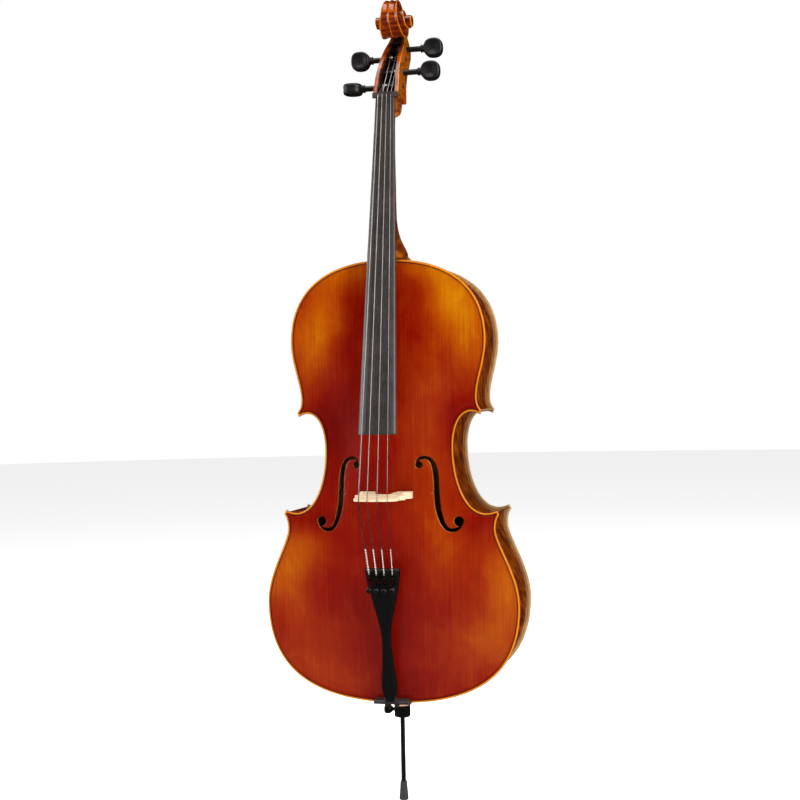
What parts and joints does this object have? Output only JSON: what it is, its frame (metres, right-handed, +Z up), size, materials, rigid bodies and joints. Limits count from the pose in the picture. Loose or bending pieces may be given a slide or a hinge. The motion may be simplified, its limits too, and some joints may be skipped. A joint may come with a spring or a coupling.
{
  "type": "cello",
  "caption": "Full-size bowed string instrument with arched top and back, f-shaped sound holes, turning pegs, a tailpiece with lever fine tuners and a sliding endpin.",
  "frame": {"origin": "centre of the rubber endpin tip's flat lower face, with the endpin part way out", "axes": "+Z up the endpin to the scroll, -Y the front of the top plate, +X the treble side where the A string runs"},
  "size_m": [0.442, 0.2628, 1.404],
  "materials": {
    "varnished_spruce": "glossy red-amber varnish over fine straight grain",
    "varnished_maple": "glossy red-brown varnish over flamed grain",
    "neck_maple": "glossy varnish over faint flame",
    "purfling": "dark inlaid strip",
    "inner_wood": "bare wood",
    "ebony": "satin",
    "bridge_maple": "bare, fine flecked",
    "peg_black": "satin black",
    "black_composite": "fine satin moulded",
    "black_metal": "black satin",
    "dark_steel": "dark oxide",
    "steel": "bright",
    "string_metal": "fine wound",
    "brass": "bright",
    "tail_cord": "fine black cord",
    "pale_plug": "pale turned wood",
    "rubber": "matte"
  },
  "bodies": {
    "body": {"top_plate": "varnished_spruce", "back_plate": "varnished_maple", "top_purfling": "purfling", "back_purfling": "purfling", "top_linings": "inner_wood", "back_linings": "inner_wood", "upper_block": "inner_wood", "lower_block": "inner_wood", "corner_blocks": "inner_wood", "bass_bar": "inner_wood", "sound_post": "inner_wood", "neck": "neck_maple", "head": "neck_maple", "fingerboard": "ebony", "nut": "ebony", "saddle": "ebony", "bridge": "bridge_maple", "tailpiece": "black_composite", "tail_cord": "tail_cord", "tuner_pin": "steel", "endpin_plug": "pale_plug", "endpin_collar": "black_metal", "upper_rib_treble": "varnished_maple", "upper_rib_bass": "varnished_maple", "middle_rib_treble": "varnished_maple", "middle_rib_bass": "varnished_maple", "lower_rib_treble": "varnished_maple", "lower_rib_bass": "varnished_maple", "string_c": "string_metal", "string_g": "string_metal", "string_d": "string_metal", "string_a": "string_metal"},
    "endpin": {"endpin_rod": "dark_steel", "endpin_tip": "rubber"},
    "thumbscrew_shaft": {"thumbscrew_shaft": "dark_steel"},
    "thumbscrew_knob": {"thumbscrew_knob": "black_metal"},
    "peg_c": {"peg_c": "peg_black", "winding_c": "string_metal"},
    "tuner_screw_c": {"tuner_screw_c": "black_metal"},
    "tuner_knob_c": {"tuner_knob_c": "black_metal"},
    "tuner_lever_c": {"tuner_lever_c": "black_metal", "ball_end_c": "brass"},
    "peg_g": {"peg_g": "peg_black", "winding_g": "string_metal"},
    "tuner_screw_g": {"tuner_screw_g": "black_metal"},
    "tuner_knob_g": {"tuner_knob_g": "black_metal"},
    "tuner_lever_g": {"tuner_lever_g": "black_metal", "ball_end_g": "brass"},
    "peg_d": {"peg_d": "peg_black", "winding_d": "string_metal"},
    "tuner_screw_d": {"tuner_screw_d": "black_metal"},
    "tuner_knob_d": {"tuner_knob_d": "black_metal"},
    "tuner_lever_d": {"tuner_lever_d": "black_metal", "ball_end_d": "brass"},
    "peg_a": {"peg_a": "peg_black", "winding_a": "string_metal"},
    "tuner_screw_a": {"tuner_screw_a": "black_metal"},
    "tuner_knob_a": {"tuner_knob_a": "black_metal"},
    "tuner_lever_a": {"tuner_lever_a": "black_metal", "ball_end_a": "brass"}
  },
  "joints": [
    {"name": "endpin_slide", "type": "slide", "parent": "body", "child": "endpin", "axis": [0, 0, -1], "range_m": [-0.105, 0.2]},
    {"name": "thumbscrew_slide", "type": "slide", "parent": "body", "child": "thumbscrew_shaft", "axis": [-1, 0, 0], "range_m": [0, 0.002]},
    {"name": "thumbscrew_turn", "type": "hinge", "parent": "thumbscrew_shaft", "child": "thumbscrew_knob", "pos_m": [-0.024, 0, 0.158], "axis": [-1, 0, 0], "range_deg": [0, 720]},
    {"name": "peg_c_turn", "type": "hinge", "parent": "body", "child": "peg_c", "pos_m": [0, -0.004, 1.243], "axis": [-1, 0, 0], "continuous": true},
    {"name": "tuner_c_screw", "type": "slide", "parent": "body", "child": "tuner_screw_c", "axis": [0, 0.9842, 0.1771], "range_m": [0, 0.005]},
    {"name": "tuner_c_turn", "type": "hinge", "parent": "tuner_screw_c", "child": "tuner_knob_c", "pos_m": [-0.0215, -0.12482, 0.38477], "axis": [0, 0.9842, 0.1771], "range_deg": [0, 1800]},
    {"name": "tuner_c_lever", "type": "hinge", "parent": "body", "child": "tuner_lever_c", "pos_m": [-0.0215, -0.12049, 0.40587], "axis": [1, 0, 0], "range_deg": [0, 14.32]},
    {"name": "peg_g_turn", "type": "hinge", "parent": "body", "child": "peg_g", "pos_m": [0, 0.032, 1.3], "axis": [-1, 0, 0], "continuous": true},
    {"name": "tuner_g_screw", "type": "slide", "parent": "body", "child": "tuner_screw_g", "axis": [0, 0.9842, 0.1771], "range_m": [0, 0.005]},
    {"name": "tuner_g_turn", "type": "hinge", "parent": "tuner_screw_g", "child": "tuner_knob_g", "pos_m": [-0.008, -0.12482, 0.38477], "axis": [0, 0.9842, 0.1771], "range_deg": [0, 1800]},
    {"name": "tuner_g_lever", "type": "hinge", "parent": "body", "child": "tuner_lever_g", "pos_m": [-0.008, -0.12049, 0.40587], "axis": [1, 0, 0], "range_deg": [0, 14.32]},
    {"name": "peg_d_turn", "type": "hinge", "parent": "body", "child": "peg_d", "pos_m": [0, 0.048, 1.319], "axis": [1, 0, 0], "continuous": true},
    {"name": "tuner_d_screw", "type": "slide", "parent": "body", "child": "tuner_screw_d", "axis": [0, 0.9842, 0.1771], "range_m": [0, 0.005]},
    {"name": "tuner_d_turn", "type": "hinge", "parent": "tuner_screw_d", "child": "tuner_knob_d", "pos_m": [0.0053, -0.12482, 0.38477], "axis": [0, 0.9842, 0.1771], "range_deg": [0, 1800]},
    {"name": "tuner_d_lever", "type": "hinge", "parent": "body", "child": "tuner_lever_d", "pos_m": [0.0053, -0.12049, 0.40587], "axis": [1, 0, 0], "range_deg": [0, 14.32]},
    {"name": "peg_a_turn", "type": "hinge", "parent": "body", "child": "peg_a", "pos_m": [0, 0.006, 1.269], "axis": [1, 0, 0], "continuous": true},
    {"name": "tuner_a_screw", "type": "slide", "parent": "body", "child": "tuner_screw_a", "axis": [0, 0.9842, 0.1771], "range_m": [0, 0.005]},
    {"name": "tuner_a_turn", "type": "hinge", "parent": "tuner_screw_a", "child": "tuner_knob_a", "pos_m": [0.0187, -0.12482, 0.38477], "axis": [0, 0.9842, 0.1771], "range_deg": [0, 1800]},
    {"name": "tuner_a_lever", "type": "hinge", "parent": "body", "child": "tuner_lever_a", "pos_m": [0.0187, -0.12049, 0.40587], "axis": [1, 0, 0], "range_deg": [0, 14.32]}
  ],
  "couplings": [
    {"joint": "thumbscrew_turn", "follows": "thumbscrew_slide", "rad_per_m": 6283.2},
    {"joint": "tuner_c_turn", "follows": "tuner_c_screw", "rad_per_m": 6283.2},
    {"joint": "tuner_c_lever", "follows": "tuner_c_screw", "rad_per_m": 50},
    {"joint": "tuner_g_turn", "follows": "tuner_g_screw", "rad_per_m": 6283.2},
    {"joint": "tuner_g_lever", "follows": "tuner_g_screw", "rad_per_m": 50},
    {"joint": "tuner_d_turn", "follows": "tuner_d_screw", "rad_per_m": 6283.2},
    {"joint": "tuner_d_lever", "follows": "tuner_d_screw", "rad_per_m": 50},
    {"joint": "tuner_a_turn", "follows": "tuner_a_screw", "rad_per_m": 6283.2},
    {"joint": "tuner_a_lever", "follows": "tuner_a_screw", "rad_per_m": 50}
  ]
}
